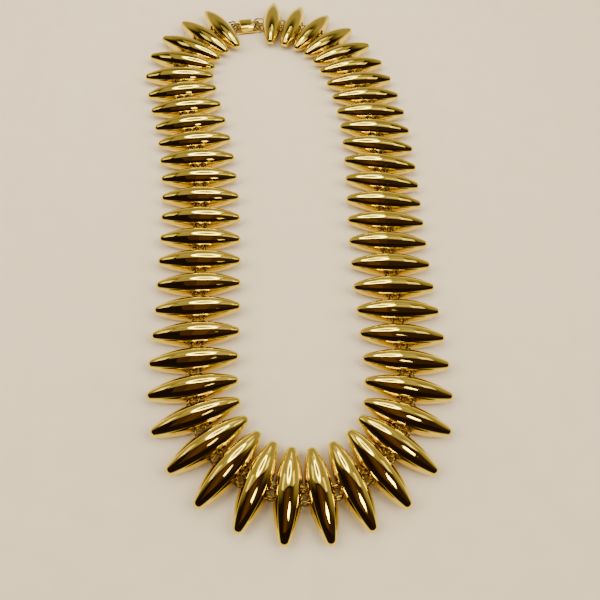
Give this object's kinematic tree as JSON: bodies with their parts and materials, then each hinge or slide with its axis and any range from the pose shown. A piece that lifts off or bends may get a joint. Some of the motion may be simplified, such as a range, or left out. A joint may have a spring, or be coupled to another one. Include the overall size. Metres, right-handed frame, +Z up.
{
  "type": "chain necklace",
  "caption": "Closed necklace of domed, boat-shaped hollow gold shells laid side by side, joined by pairs of small oval wire rings, with a plain bar clasp.",
  "frame": {"origin": "middle of the necklace's box, on the surface that it lies on", "axes": "+Z up, +Y from the front middle towards the clasp, +X towards the right strand"},
  "size_m": [0.0946, 0.2024, 0.0059],
  "materials": {
    "polished_gold": "polished"
  },
  "bodies": {
    "root": {"left_shells": "polished_gold", "right_shells": "polished_gold", "left_rings": "polished_gold", "right_rings": "polished_gold", "clasp": "polished_gold"}
  },
  "joints": []
}
